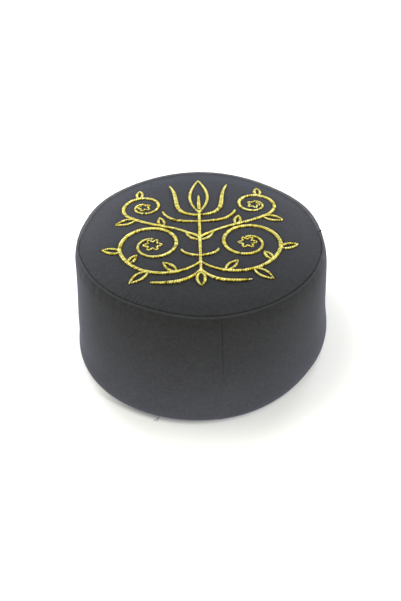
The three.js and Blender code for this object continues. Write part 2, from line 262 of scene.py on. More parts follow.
def butt_relief(angle, up):
    """The upright seam: a sharp groove between the band's two ends, pressed open behind."""
    along = np.radians(turn_between(angle, BUTT_ANGLE)) * HEM_RADIUS
    strength = BUTT_FAINT + (1 - BUTT_FAINT) * smoothstep(up, *BUTT_GROWS)
    groove = -BUTT_DEPTH * strength * np.exp(-(along / BUTT_HALF) ** 2)
    left = smoothstep(along, -BUTT_ALLOWANCE - BUTT_LEFT_SOFT, -BUTT_ALLOWANCE) * (along < 0)
    right = (1 - smoothstep(along, BUTT_ALLOWANCE, BUTT_ALLOWANCE + BUTT_RIGHT_SOFT)) * (along >= 0)
    ridge = np.exp(-((along + BUTT_ALLOWANCE / 2) / BUTT_HALF) ** 2)
    return groove + BUTT_STEP * (left + BUTT_RIGHT * right + BUTT_RIDGE * ridge)


def front_share(angle):
    """1 at the front of the seam round the top and 0 at its back, with the change at the sides."""
    return smoothstep(-np.sin(np.radians(angle)), -SIDE_CHANGE, SIDE_CHANGE)


def groove_radius(angle):
    """Radius of the seam's groove. The fold outside it is wider at the back and the sides."""
    return seam_radius(angle) - FOLD_WIDER * (1 - front_share(angle))


def groove_depth(angle):
    """Depth of the seam's groove below the band's edge."""
    return GROOVE_SHALLOW + (GROOVE_DEEP - GROOVE_SHALLOW) * front_share(angle)


def panel_rim(angle):
    """Radius of the top panel, which leaves a gap in the groove that is widest at the front."""
    return groove_radius(angle) - GROOVE_SHUT - (GROOVE_GAP - GROOVE_SHUT) * front_share(angle)


def band_relief(angle, up):
    """Everything finer than the dents on the band's outer face."""
    a = np.radians(angle)
    slack = sum(np.sin(k * a + p + np.sin(q * up + p)) / math.sqrt(k) for k, p, q in SLACK_WAVES)
    calm = smoothstep(up, 0, CALM_HEM) * (1 - smoothstep(up, CALM_TOP, 1))
    full = (SLACK_SWELL + SLACK_DEPTH * slack) * calm
    return puckers(angle, (1 - up) * HEIGHT) + full + butt_relief(angle, up)


# Meshes


def mesh_object(name, vertices, faces, loop_uv, material):
    """An object from vertices in millimetres, four-sided faces and one uv for each corner."""
    mesh = bpy.data.meshes.new(name)
    count, sides = faces.shape
    mesh.vertices.add(len(vertices))
    mesh.vertices.foreach_set("co", (np.asarray(vertices, float) * MM).ravel())
    mesh.loops.add(count * sides)
    mesh.loops.foreach_set("vertex_index", faces.ravel().astype(np.int32))
    mesh.polygons.add(count)
    mesh.polygons.foreach_set("loop_start", np.arange(0, count * sides, sides, dtype=np.int32))
    mesh.update(calc_edges=True)
    mesh.polygons.foreach_set("use_smooth", np.ones(count, dtype=bool))
    layer = mesh.uv_layers.new(name="cloth")
    layer.data.foreach_set("uv", np.asarray(loop_uv, dtype=np.float32).ravel())
    mesh.materials.append(material)
    piece = bpy.data.objects.new(name, mesh)
    bpy.context.scene.collection.objects.link(piece)
    return piece


def joined_object(name, parts, material):
    """One object from several meshes, each as its vertices, its faces and one uv for each corner."""
    vertices, faces, uvs = zip(*parts)
    starts = np.cumsum([0] + [len(points) for points in vertices[:-1]])
    shifted = [quads + start for quads, start in zip(faces, starts)]
    return mesh_object(name, np.vstack(vertices), np.vstack(shifted), np.vstack(uvs), material)


def grid_faces(rows, columns, close_rows=False, close_columns=False):
    """Quads of a grid of vertices, and the grid places of their corners before closing."""
    i, j = np.meshgrid(np.arange(rows if close_rows else rows - 1),
                       np.arange(columns if close_columns else columns - 1), indexing="ij")
    i, j = i.ravel(), j.ravel()
    place_rows = np.stack([i, i, i + 1, i + 1], -1)
    place_columns = np.stack([j, j + 1, j + 1, j], -1)
    return (place_rows % rows) * columns + place_columns % columns, place_rows, place_columns


def row_arrays(rows, angle):
    """Rows of radius and height as two arrays [row][angle]."""
    return [np.array([np.broadcast_to(row[k], angle.shape) for row in rows]) for k in (0, 1)]


def turned_object(name, angles, section, grain, close_rows, material):
    """A body from section(angles) -> radius and height arrays [row][angle], and grain -> uv."""
    radius, height = section(angles)
    a = np.radians(angles)
    points = np.stack([radius * np.cos(a), radius * np.sin(a), height], -1)
    faces, at_row, at_column = grid_faces(*radius.shape, close_rows, True)
    uvs = grain(np.append(angles, angles[0] + 360), points)
    return mesh_object(name, points.reshape(-1, 3), faces, uvs[at_row, at_column], material)


def cubic(a, b, c, d, count):
    """Points on the curve with these corner points, without the last one."""
    t = np.arange(count)[:, None] / count
    return a * (1 - t) ** 3 + 3 * b * t * (1 - t) ** 2 + 3 * c * t * t * (1 - t) + d * t ** 3


# The band

# Degrees between its columns, and the columns across the upright seam
BAND_STEP = 0.6
BUTT_SPAN = 2.5
BUTT_MARGIN = 0.1
BUTT_COLUMNS = 40

# The hem is rolled, stands a little off the floor at the front left, and is turned up inside:
# millimetres and degrees, and shares of HEIGHT for the rows of the part that is turned up
HEM_ROLL = 1.2
HEM_LIFT = 0.9
HEM_LIFT_AT = -122
HEM_LIFT_WIDE = 34
HEM_LIFT_REACH = 16.0
HEM_TURN = 0.35
HEM_TURN_TOP = 0.153
HEM_TURN_UPS = (0.147, 0.1, 0.05, 0.02)
HEM_CORNER = 0.3 * HEM_ROUND

# Rows of the band from under the hem, up the outside, over the fold and down the inside. Heights are
# shares of HEIGHT, the shoulder's curve has shares of its height, and the crest shares of EDGE_ROLL.
HEM_ROWS = 5
WALL_ROWS = 62
WALL_START = 1.3 * HEM_ROLL / HEIGHT
SHOULDER_ROWS = 10
SHOULDER_UP = 0.945
SHOULDER_LEAN = 0.12
SHOULDER_RISE = 0.55
CREST_OUT = 0.55
CREST_BULGE = 0.8
FOLD_ROWS = 9
FOLD_CROWD = 0.75
FOLD_BEND = 2.2
FOLD_BEND_BACK = 4
TUCK_ROWS = 5
INSIDE_ROWS = 14
INSIDE_END = 0.16
CREST_ROW = HEM_ROWS + WALL_ROWS + SHOULDER_ROWS - 1
# The height at which the turned-in cloth ends, in millimetres
FOLD_END = HEIGHT - SEAM_SINK - BAND_ALLOWANCE


def band_angles():
    """Directions round the band, closer together across the upright seam."""
    coarse = np.arange(-180, 180, BAND_STEP)
    coarse = coarse[np.abs(turn_between(coarse, BUTT_ANGLE)) > BUTT_SPAN + BUTT_MARGIN]
    return np.sort(np.concatenate([coarse, BUTT_ANGLE + np.linspace(-BUTT_SPAN, BUTT_SPAN, BUTT_COLUMNS)]))


def outside_rows(angle):
    """Rows of radius and height from under the hem up to the fold's crest."""
    def outer(up):
        return band_radius(angle, up) + band_relief(angle, np.full_like(angle, up))

    foot = outer(0)
    rows = [(foot - HEM_ROLL * (1 - math.sin(t)), HEM_ROLL * (1 - math.cos(t)))
            for t in np.linspace(0, math.pi / 2, HEM_ROWS)]
    rows += [(outer(up), up * HEIGHT) for up in np.linspace(WALL_START, SHOULDER_UP, WALL_ROWS)]
    wall, lift = outer(SHOULDER_UP), SHOULDER_UP * HEIGHT
    back = 1 - front_share(angle)
    crest = seam_radius(angle) + CREST_OUT * EDGE_ROLL + FOLD_OUT * back + puckers(angle, 0)
    reach = HEIGHT - lift
    edge = HEIGHT - FOLD_FALL * back
    bulge = crest + CREST_BULGE * EDGE_ROLL
    r = cubic(wall, wall - SHOULDER_LEAN * reach, bulge, crest, SHOULDER_ROWS)[1:]
    z = cubic(lift, lift + SHOULDER_RISE * reach, edge, edge, SHOULDER_ROWS)[1:]
    return rows + list(zip(r, z)), foot, crest


def fold_rows(angle, crest):
    """Rows from the fold's crest into the groove and down the cloth turned in there."""
    groove, sink = groove_radius(angle), HEIGHT - groove_depth(angle)
    back = 1 - front_share(angle)
    rows = []
    for share in np.linspace(0, 1, FOLD_ROWS) ** FOLD_CROWD:
        drop = (HEIGHT - sink) * share ** (FOLD_BEND + FOLD_BEND_BACK * back)
        rows.append((crest + share * (groove - crest), HEIGHT - FOLD_FALL * back * (1 - share) ** 2 - drop))
    for share in np.linspace(0, 1, TUCK_ROWS + 1)[1:]:
        rows.append((groove, sink + share * (FOLD_END - sink)))
    return rows


def inside_rows(angle, foot):
    """Rows down the inner face and round the hem's cloth, which is turned up a little proud of it."""
    rows = [(band_radius(angle, up) - WALL, up * HEIGHT)
            for up in np.linspace((FOLD_END - CLEAR) / HEIGHT, INSIDE_END, INSIDE_ROWS)]
    rows.append((band_radius(angle, HEM_TURN_TOP) - WALL, HEM_TURN_TOP * HEIGHT))
    rows += [(band_radius(angle, up) - WALL - HEM_TURN, up * HEIGHT) for up in HEM_TURN_UPS]
    inner = foot - WALL - HEM_TURN
    return rows + [(inner, HEM_ROUND), (inner + HEM_CORNER, HEM_CORNER), (inner + HEM_ROUND, 0)]


def band_section(angle):
    """The band's radius and height, all the way round its section."""
    outside, foot, crest = outside_rows(angle)
    radius, height = row_arrays(outside + fold_rows(angle, crest) + inside_rows(angle, foot), angle)
    lift = HEM_LIFT * np.exp(-(turn_between(angle, HEM_LIFT_AT) / HEM_LIFT_WIDE) ** 2)
    return radius, height + lift * np.clip(1 - height / HEM_LIFT_REACH, 0, 1)


def band_grain(angles, points):
    """The cloth's threads run round the band and straight up it, from 0 at the top fold's crest."""
    step = np.linalg.norm(np.diff(points[:, 0], axis=0), axis=1)
    climb = np.concatenate([[0], np.cumsum(step), [step.sum() + WALL]]) * MM
    climb -= climb[CREST_ROW]
    around = np.radians(angles) * HEM_RADIUS * MM
    return np.stack(np.broadcast_arrays(around[None], climb[:, None]), -1)


# The embroidery. Places and lengths are shares of DESIGN_RADIUS, widths shares of STITCH_WIDTH, at the
# start, middle and end of a stroke, and directions degrees. What isn't on the middle line is mirrored.

# Plain lines from one place and direction to another, with the pull of their curves
LINES = [
    dict(name="stem", x=0, y=-0.58, leave=90, to_x=0, to_y=0.31, arrive=90, pull=0.3,
         width=(0.9, 1.12, 1)),
    dict(name="pistil", x=0, y=0.3, leave=90, to_x=0, to_y=0.6, arrive=90, pull=0.3,
         width=(0.9, 1.3, 0.5)),
    dict(name="petal", x=0, y=0.27, leave=4, to_x=0.275, to_y=0.8, arrive=66, pull=0.5,
         width=(0.8, 1.55, 0.5)),
    dict(name="sepal", x=0, y=0.17, leave=0, to_x=0.335, to_y=0.345, arrive=72, pull=0.45,
         width=(0.6, 1.2, 0.6)),
    dict(name="foot", x=0, y=-0.52, leave=-62, to_x=0.42, to_y=-0.665, arrive=8, pull=0.4,
         width=(0.6, 1.35, 0.5)),
    dict(name="waist", x=0, y=-0.34, leave=14, to_x=0.16, to_y=-0.25, arrive=75, pull=0.4,
         width=(0.6, 1.1, 0.7)),
]
# A stalk that meets the outer radius of a volute, which winds through its sweep to the inner radius
SCROLLS = [
    dict(name="lower", x=0, y=-0.42, leave=-48, pull=0.46, eye=(0.415, -0.165), outer=0.292, inner=0.082,
         start=-12, sweep=470, width=(0.85, 1.4, 0.7)),
    dict(name="upper", x=0, y=-0.08, leave=42, pull=0.42, eye=(0.51, 0.435), outer=0.205, inner=0.062,
         start=-52, sweep=470, width=(0.8, 1.3, 0.65)),
]
# What a leaf grows on, how far along it, the turn off it, its length, and its belly as a share of that
LEAVES = [
    dict(on="lower", at=0.2, off=-62, long=0.2, belly=0.34),
    dict(on="lower", at=0.36, off=-58, long=0.165, belly=0.36),
    dict(on="lower", at=0.1, off=62, long=0.17, belly=0.32),
    dict(on="lower", at=0.285, off=70, long=0.125, belly=0.36),
    dict(on="upper", at=0.36, off=-52, long=0.19, belly=0.36),
    dict(on="upper", at=0.21, off=58, long=0.14, belly=0.34),
    dict(on="upper", at=0.62, off=-80, long=0.145, belly=0.36),
    dict(on="stem", at=0.53, off=-48, long=0.165, belly=0.32),
    dict(on="stem", at=1, off=0, long=0.59, belly=0.23),
    dict(on="stem", at=0.02, off=180, long=0.17, belly=0.4),
]
# Its sides: widths, the pull of their curves, and how far they open and close for their belly
LEAF_WIDTH = (0.5, 1, 0.45)
LEAF_PULL = 0.42
LEAF_OPEN = 2.6
LEAF_CLOSE = 0.72
# A lobed ring round a scroll's eye
ROSETTES = [
    dict(on="lower", radius=0.062, lobes=6, lobe=0.28),
    dict(on="upper", radius=0.047, lobes=5, lobe=0.28),
]
ROSETTE_WIDTH = (0.62, 0.62, 0.62)
CURVE_STEPS = 160
# Where strokes cross, stems lie highest, then scrolls, by millimetres
STEM_LIFT = 0.14
SCROLL_LIFT = 0.07
# A stroke that stays this close to the middle line has no mirrored twin
ON_MIDDLE = 1e-9


def direction(degrees):
    """A step of length 1 in some direction."""
    return np.array([math.cos(math.radians(degrees)), math.sin(math.radians(degrees))])


def curve_points(start, leave, end, arrive, pull):
    """A curve from one place and direction to another."""
    start, end = np.array(start, float), np.array(end, float)
    arm = pull * np.linalg.norm(end - start)
    points = cubic(start, start + arm * direction(leave), end - arm * direction(arrive), end, CURVE_STEPS)
    return np.vstack([points, end])


def scroll_points(row):
    """A stalk that winds into a volute about the eye."""
    eye = np.array(row["eye"])
    meet = eye + row["outer"] * direction(row["start"])
    stalk = curve_points((row["x"], row["y"]), row["leave"], meet, row["start"] + 90, row["pull"])
    t = np.arange(1, 2 * CURVE_STEPS + 1) / (2 * CURVE_STEPS)
    a = np.radians(row["start"] + row["sweep"] * t)
    radius = row["outer"] + (row["inner"] - row["outer"]) * t
    volute = eye + radius[:, None] * np.stack([np.cos(a), np.sin(a)], -1)
    return np.vstack([stalk, volute])


def lengths_along(points):
    """How far along a line each of its points lies."""
    return np.concatenate([[0], np.cumsum(np.linalg.norm(np.diff(points, axis=0), axis=1))])


def leaf_sides(row, points):
    """The two curved sides of a leaf that grows from a line."""
    run = lengths_along(points)
    goal = row["at"] * run[-1]
    i = min(max(int(np.searchsorted(run, goal)), 1), len(points) - 1)
    step = points[i] - points[i - 1]
    base = points[i - 1] + step * (goal - run[i - 1]) / (run[i] - run[i - 1])
    way = math.degrees(math.atan2(step[1], step[0])) + row["off"]
    tip = base + row["long"] * direction(way)
    spread = math.degrees(math.atan(row["belly"] * LEAF_OPEN))
    return [curve_points(base, way + side * spread, tip, way - side * spread * LEAF_CLOSE, LEAF_PULL)
            for side in (1, -1)]


def rosette_points(row, scroll):
    """A lobed ring round the eye of a scroll."""
    a = np.linspace(0, 2 * math.pi, 2 * CURVE_STEPS)
    radius = row["radius"] * (1 + row["lobe"] * np.cos(row["lobes"] * a))
    return np.array(scroll["eye"]) + radius[:, None] * np.stack([np.cos(a), np.sin(a)], -1)


def design_strokes():
    """Every stroke as points in millimetres, three widths, a group and how high it lies."""
    named, strokes = {}, []
    for row in LINES:
        named[row["name"]] = curve_points((row["x"], row["y"]), row["leave"],
                                          (row["to_x"], row["to_y"]), row["arrive"], row["pull"])
        strokes.append((named[row["name"]], row["width"], "stems", STEM_LIFT))
    for row in SCROLLS:
        named[row["name"]] = scroll_points(row)
        strokes.append((named[row["name"]], row["width"], "scrolls", SCROLL_LIFT))
    for row in LEAVES:
        for points in leaf_sides(row, named[row["on"]]):
            strokes.append((points, LEAF_WIDTH, "leaves", 0))
    for row in ROSETTES:
        scroll = next(s for s in SCROLLS if s["name"] == row["on"])
        strokes.append((rosette_points(row, scroll), ROSETTE_WIDTH, "leaves", 0))
    full = []
    for points, width, group, lift in strokes:
        sides = [1] if np.abs(points[:, 0]).max() < ON_MIDDLE else [1, -1]
        for side in sides:
            full.append((points * DESIGN_RADIUS * [side, 1], width, group, lift))
    return full


def stroke_width(width, share):
    """Width at a share of a stroke's length, from those at its start, middle and end."""
    first, middle, last = width
    pull = 2 * middle - (first + last) / 2
    rest = 1 - share
    return STITCH_WIDTH * (first * rest ** 2 + 2 * pull * share * rest + last * share ** 2)


def resampled(points, width, pitch):
    """Places, directions and widths at even steps along a stroke."""
    run = lengths_along(points)
    count = max(int(run[-1] / pitch), 3)
    at = (np.arange(count) + 0.5) / count * run[-1]
    place = np.stack([np.interp(at, run, points[:, k]) for k in (0, 1)], -1)
    way = np.gradient(place, axis=0)
    way /= np.linalg.norm(way, axis=1)[:, None]
    return place, way, stroke_width(width, at / run[-1])


STROKES = design_strokes()
# Millimetres between a stroke's places in the search tree
TREE_PITCH = 0.7


def stroke_tree():
    """A search tree of the strokes' places with their widths."""
    places, widths = [], []
    for points, width, _, _ in STROKES:
        place, _, wide = resampled(points, width, TREE_PITCH)
        places.append(place)
        widths.append(wide)
    places, widths = np.vstack(places), np.concatenate(widths)
    tree = KDTree(len(places))
    for i, (x, y) in enumerate(places):
        tree.insert((x, y, 0), i)
    tree.balance()
    return tree, widths


# The top panel

# Its columns, the rows of its face, edge and underside, and how close to the middle they start
PANEL_COLUMNS = 560
FACE_ROWS = 116
FACE_START = 0.004
FACE_CROWD = 0.9
EDGE_ROWS = 4
UNDER_ROWS = 16
UNDER_START = 0.93
# The rim's curve, as shares of EDGE_ROLL outwards and of the groove's depth downwards
RIM_OUT = 0.7
RIM_DROP = (0.1, 0.4)


def pull_down(radius, angle, tree, widths):
    """How much of PULL_DEPTH the cloth is pulled down beside the stitches."""
    pull = np.zeros_like(angle)
    for k, (r, a) in enumerate(zip(radius, np.radians(angle))):
        _, i, far = tree.find((r * math.cos(a), r * math.sin(a), 0))
        pull[k] = math.exp(-(max(far - widths[i] / 2, 0) / PULL_REACH) ** 2)
    return pull


def panel_section(angle):
    """Rows of radius and height from the middle of the face over the rim to the underside."""
    rim = panel_rim(angle)
    tree, widths = stroke_tree()
    rows = []
    flat = 1 - RIM_ROUND * EDGE_ROLL / rim
    for share in np.linspace(FACE_START, 1, FACE_ROWS) ** FACE_CROWD:
        radius = share * flat * rim
        inside = in_from_rim(radius, rim)
        gathered = RIM_PUCKER * puckers(angle + RIM_PUCKER_TURN, inside) + gathers(angle, inside)
        relief = gathered - PULL_DEPTH * pull_down(radius, angle, tree, widths)
        rows.append((radius, face_height(radius, rim) + relief))
    edge, lift = rows[-1]
    depth = groove_depth(angle)
    first, second = RIM_DROP
    r = cubic(edge, edge + RIM_OUT * EDGE_ROLL, rim, rim, FOLD_ROWS)[1:]
    z = cubic(lift, lift - first * depth, HEIGHT - second * depth, HEIGHT - depth, FOLD_ROWS)[1:]
    rows += list(zip(r, z))
    hidden = HEIGHT - SEAM_SINK - PANEL_ALLOWANCE
    for share in np.linspace(0, 1, EDGE_ROWS):
        rows.append((rim, HEIGHT - depth + share * (hidden - HEIGHT + depth)))
    rows.append((rim - PANEL, hidden))
    rows.append((rim - PANEL, HEIGHT - SEAM_SINK - PANEL))
    rows.append((rim - EDGE_ROLL - PANEL, crown_height(flat) - PANEL - EDGE_ROLL / 2))
    for share in np.linspace(UNDER_START, FACE_START, UNDER_ROWS):
        rows.append((rim * share, crown_height(share) - PANEL))
    return row_arrays(rows, angle)


def panel_grain(angles, points):
    """The cloth's threads run straight across the top."""
    flat = points[..., :2] * MM
    return np.concatenate([flat, flat[:, :1]], 1)


# Satin stitches

# Millimetres and degrees. A stitch rises by a share of its stroke's width and some more, up to a limit.
STITCH_PITCH = 0.55
THREAD_WIDE = 0.6
THREAD_HIGH = 0.36
STITCH_RISE = 0.95
RISE_SHARE = 0.3
RISE_MORE = 0.3
STITCH_SLANT = 24
STITCH_SIDES = 5
BURIED = 0.35
# Places across a stitch, from one end to the other, and the two powers of its arch over them
STITCH_STATIONS = np.array([-1, -0.86, -0.5, 0, 0.5, 0.86, 1])
ARCH_FLAT = 3.2
ARCH_FULL = 0.6
# Stitches take turns in tone and in height, and every other one slants more. The lowest of each turn is
# painted darkest, as shade.
CLUMP_TONES = np.array([0.95, 0.7, 0.0])
CLUMP_RISES = np.array([0.1, 0.0, -0.42])
SLANT_SWAY = 3
# How unlike each other they are
SLANT_VARIES = 2.5
LENGTH_VARIES = 0.03
THICKNESS_VARIES = 0.07
TONE_VARIES = 0.3
# The ridge below them: shares of the stroke's half width, and of its height where above the cloth
PADDING_PITCH = 0.9
PADDING_PROFILE = np.array([(-0.9, -BURIED), (-0.78, 0.35), (-0.35, 0.8),
                            (0.35, 0.8), (0.78, 0.35), (0.9, -BURIED)])
# Each step of the ridge is this much further through the tones
PADDING_TONES = 0.37


def height_under(place):
    """Height of the top's face below places across it."""
    x, y = place[..., 0], place[..., 1]
    return face_height(np.hypot(x, y), panel_rim(np.degrees(np.arctan2(y, x))))


def stitch_rise(wide):
    """How high the stitches rise over a stroke of some width."""
    return np.minimum(STITCH_RISE, RISE_SHARE * wide + RISE_MORE)


def in_turn(values, count):
    """The values over and over, up to a count."""
    return values[np.arange(count) % len(values)]


def stitch_threads(place, way, wide, lift):
    """Vertices of a bent thread over each place of a stroke, with both ends sunk in the cloth."""
    count = len(place)
    sway = SLANT_SWAY * (-1) ** np.arange(count)
    slant = np.radians(STITCH_SLANT + rng.normal(0, SLANT_VARIES, count) + sway)
    across = np.stack([-way[:, 1], way[:, 0]], -1)
    lay = across * np.cos(slant)[:, None] + way * np.sin(slant)[:, None]
    beside = np.stack([lay[:, 1], -lay[:, 0]], -1)
    half = wide / 2 / np.cos(slant) * (1 + rng.normal(0, LENGTH_VARIES, count))
    full = rng.normal(1, THICKNESS_VARIES, count)
    rise = stitch_rise(wide) * full - THREAD_HIGH / 2 + lift + in_turn(CLUMP_RISES, count)
    centre = place[:, None] + lay[:, None] * (half[:, None] * STITCH_STATIONS)[..., None]
    arch = (1 - np.abs(STITCH_STATIONS) ** ARCH_FLAT) ** ARCH_FULL
    height = -BURIED + (rise[:, None] + BURIED) * arch + height_under(centre)
    ring = np.arange(STITCH_SIDES) * 2 * math.pi / STITCH_SIDES
    spread = (THREAD_WIDE / 2 * full)[:, None, None] * np.cos(ring)
    threads = np.zeros((*height.shape, STITCH_SIDES, 3))
    threads[..., :2] = centre[:, :, None] + beside[:, None, None] * spread[..., None]
    threads[..., 2] = height[:, :, None] + THREAD_HIGH / 2 * np.sin(ring)
    return threads


def satin_object(name, groups, material):
    """The stitches of some groups of strokes. Their uv is each stitch's tone and the way along it."""
    quads, at_row, _ = grid_faces(len(STITCH_STATIONS), STITCH_SIDES, close_columns=True)
    along = at_row / (len(STITCH_STATIONS) - 1)
    parts = []
    for points, width, group, lift in STROKES:
        if group not in groups:
            continue
        place, way, wide = resampled(points, width, STITCH_PITCH)
        threads = stitch_threads(place, way, wide, lift)
        count = len(threads)
        tones = np.clip(in_turn(CLUMP_TONES, count) + rng.normal(0, TONE_VARIES, count), 0, 1)
        for thread, tone in zip(threads, tones):
            uvs = np.stack([np.full_like(along, tone), along], -1)
            parts.append((thread.reshape(-1, 3), quads, uvs.reshape(-1, 2)))
    return joined_object(name, parts, material)


def padding_object(name, material):
    """A low ridge under each stroke's stitches, painted dark as the shade between and beside them."""
    out, up = PADDING_PROFILE.T
    parts = []
    for points, width, _, lift in STROKES:
        place, way, wide = resampled(points, width, PADDING_PITCH)
        across = np.stack([-way[:, 1], way[:, 0]], -1)
        rise = stitch_rise(wide) - THREAD_HIGH + lift
        centre = place[:, None] + across[:, None] * (wide[:, None] / 2 * out)[..., None]
        height = np.where(up > 0, up * rise[:, None], up) + height_under(centre)
        ridge = np.concatenate([centre, height[..., None]], -1)
        quads, at_row, at_column = grid_faces(*height.shape, close_columns=True)
        uvs = np.stack([at_row * PADDING_TONES % 1, at_column / len(out)], -1)
        parts.append((ridge.reshape(-1, 3), quads, uvs.reshape(-1, 2)))
    return joined_object(name, parts, material)


# Loose threads

# Places as degrees round, millimetres out from the hem or the seam round the top, and millimetres up
# from the floor or the band's edge
HEM_THREAD = [(-109.9, -1.4, 2.2), (-110.2, 0.9, 0.55), (-110.9, 2.7, 0.35), (-111.6, 4.5, 0.3)]
HEM_STRAND = [(-110.2, 0.8, 0.5), (-110.0, 2.6, 0.3), (-110.4, 4.4, 0.2)]
RIM_LINT = [(1.2, -0.4, -0.3), (1.0, 0.5, 0.6), (0.5, 0.7, 1.3), (0.7, 1.5, 1.8)]
LINT_CURL = [(1.0, 0.5, 0.5), (0.2, 0.7, 1.0), (-0.3, 1.2, 0.9)]
THREAD_THICK = 0.36
LINT_THICK = 1.0
STRAND_THICK = 0.24
THREAD_RINGS = 24
THREAD_SIDES = 7
# How late and how far a thread tapers, how often its bends are smoothed, and a way that it never runs
TAPER_POWER = 8
TAPER_LEAST = 0.02
THREAD_SMOOTHED = 4
THREAD_SIDEWAYS = (0.3, 0.2, 1.0)


def round_places(rows, radius, base):
    """Places in millimetres from degrees round, millimetres out from a radius, and height over a base."""
    turn = np.array([row[0] for row in rows], float)
    out = radius(turn) + np.array([row[1] for row in rows])
    flat = out * np.stack([np.cos(np.radians(turn)), np.sin(np.radians(turn))])
    return np.column_stack([*flat, [base + row[2] for row in rows]])


def thread_object(name, strands, material):
    """Loose bits of thread as thin tubes along a few places, pointed at their ends."""
    parts = []
    quads, at_row, at_column = grid_faces(THREAD_RINGS, THREAD_SIDES, close_columns=True)
    uvs = np.stack([at_row / THREAD_RINGS, at_column / THREAD_SIDES], -1).reshape(-1, 2)
    ring = np.arange(THREAD_SIDES) * 2 * math.pi / THREAD_SIDES
    taper = np.sqrt(np.clip(1 - np.abs(np.linspace(-1, 1, THREAD_RINGS)) ** TAPER_POWER, TAPER_LEAST, 1))
    for places, thick in strands:
        run = lengths_along(places)
        at = np.linspace(0, run[-1], THREAD_RINGS)
        fine = np.stack([np.interp(at, run, places[:, k]) for k in range(3)], -1)
        for _ in range(THREAD_SMOOTHED):
            fine[1:-1] = (fine[:-2] + 2 * fine[1:-1] + fine[2:]) / 4
        way = np.gradient(fine, axis=0)
        way /= np.linalg.norm(way, axis=1)[:, None]
        side = np.cross(way, THREAD_SIDEWAYS)
        side /= np.linalg.norm(side, axis=1)[:, None]
        up = np.cross(side, way)
        round_it = side[:, None] * np.cos(ring)[:, None] + up[:, None] * np.sin(ring)[:, None]
        tube = fine[:, None] + (thick / 2 * taper)[:, None, None] * round_it
        parts.append((tube.reshape(-1, 3), quads, uvs))
    return joined_object(name, parts, material)


# Materials


class Graph:
    """A new material and the means to fill it. A value is a number, a colour or another node's output."""

    def __init__(self, name):
        self.material = bpy.data.materials.new(name)
        self.material.use_nodes = True
        self.tree = self.material.node_tree
        self.shader = self.tree.nodes["Principled BSDF"]

    def fill(self, node, inputs):
        """Sets or links a node's inputs, by name or by place."""
        for key, value in inputs.items():
            if hasattr(value, "links"):
                self.tree.links.new(value, node.inputs[key])
            else:
                node.inputs[key].default_value = value

    def add(self, kind, inputs, **properties):
        """A node of some kind with its inputs and properties."""
        node = self.tree.nodes.new("ShaderNode" + kind)
        for key, value in properties.items():
            setattr(node, key, value)
        self.fill(node, inputs)
        return node

    def places(self):
        """The object's own coordinates, which all pieces share."""
        return self.add("TexCoord", {}).outputs["Object"]

    def grain(self):
        """The cloth's coordinates along its threads."""
        return self.add("UVMap", {}, uv_map="cloth").outputs["UV"]

    def part(self, vector, axis):
        """A vector's length along one axis."""
        return self.add("SeparateXYZ", {0: vector}).outputs[axis]

    def noise(self, vector, scale, detail, roughness):
        """Uneven patches, from 0 to 1."""
        inputs = {"Vector": vector, "Scale": scale, "Detail": detail, "Roughness": roughness}
        return self.add("TexNoise", inputs).outputs["Fac"]

    def wave(self, vector, scale, direction, **inputs):
        """Even bands in some direction, from 0 to 1."""
        return self.add("TexWave", {"Vector": vector, "Scale": scale, **inputs},
                        bands_direction=direction).outputs["Fac"]

    def math(self, operation, *values, clamp=False):
        """A sum, product or the like."""
        inputs = dict(enumerate(values))
        return self.add("Math", inputs, operation=operation, use_clamp=clamp).outputs[0]

    def total(self, parts, offset):
        """The sum of some values, each times a weight, plus an offset."""
        for value, weight in parts:
            offset = self.math("MULTIPLY_ADD", value, weight, offset)
        return offset

    def away(self, value, line):
        """How far a value lies from a line."""
        return self.math("ABSOLUTE", self.total([(value, 1)], -line))

    def distance(self, vector, middle):
        """How far a place lies from a middle."""
        return self.add("VectorMath", {0: vector, 1: middle}, operation="DISTANCE").outputs["Value"]

    def change(self, value, start, stop, low, high):
        """Goes smoothly from low to high while a value goes from start to stop."""
        inputs = {"Value": value, "From Min": start, "From Max": stop, "To Min": low, "To Max": high}
        return self.add("MapRange", inputs, interpolation_type="SMOOTHSTEP").outputs["Result"]

    def mix(self, factor, first, second):
        """A mix of two colours, which are the node's inputs 6 and 7, with the result at its output 2."""
        return self.add("Mix", {0: factor, 6: first, 7: second}, data_type="RGBA").outputs[2]

    def bump(self, height, strength, distance):
        """Fine relief on the shader."""
        inputs = {"Height": height, "Strength": strength, "Distance": distance}
        self.fill(self.shader, {"Normal": self.add("Bump", inputs).outputs["Normal"]})


# The twill's pitch in metres and its finer crossing yarns. A wave texture of scale 1 repeats every 0.314.
TWILL_PITCH = 0.0006
YARN_SHARE = 0.62
WAVE_SCALE = 0.314
RIB_BENDS = {"Distortion": 0.6, "Detail": 1, "Detail Scale": 2}
# Noise as its scale, detail and roughness. Slubs are long, so their noise is stretched along the grain.
SLUBS = (1, 2, 0.5)
SLUB_SCALE = (260, 2600, 1)
BLOTCHES = (38, 3, 0.6)
MOTTLE = (430, 3, 0.65)
FUZZ = (5200, 2, 0.7)
# Weights of the uneven dye's parts and its offset, and how much the ribs show in the colour
SLUB_DYE = 1.1
BLOTCH_DYE = 0.6
MOTTLE_DYE = 1.9
DYE_OFFSET = -1.3
RIB_DYE = 0.35
# How patchy the lighter lines are, painted highlight where the fold catches light and partly wear: a weight
# and an offset
WORN_AND_HIGHLIT_MOTTLE = 1.6
WORN_AND_HIGHLIT_OFFSET = 0.1
# Relief: weights beside the ribs', and the bump's strength and depth in metres
YARN_RELIEF = 0.5
FUZZ_RELIEF = 0.5
CLOTH_BUMP = (0.35, 0.00006)


def grey(value):
    """A grey colour."""
    return (value, value, value, 1)


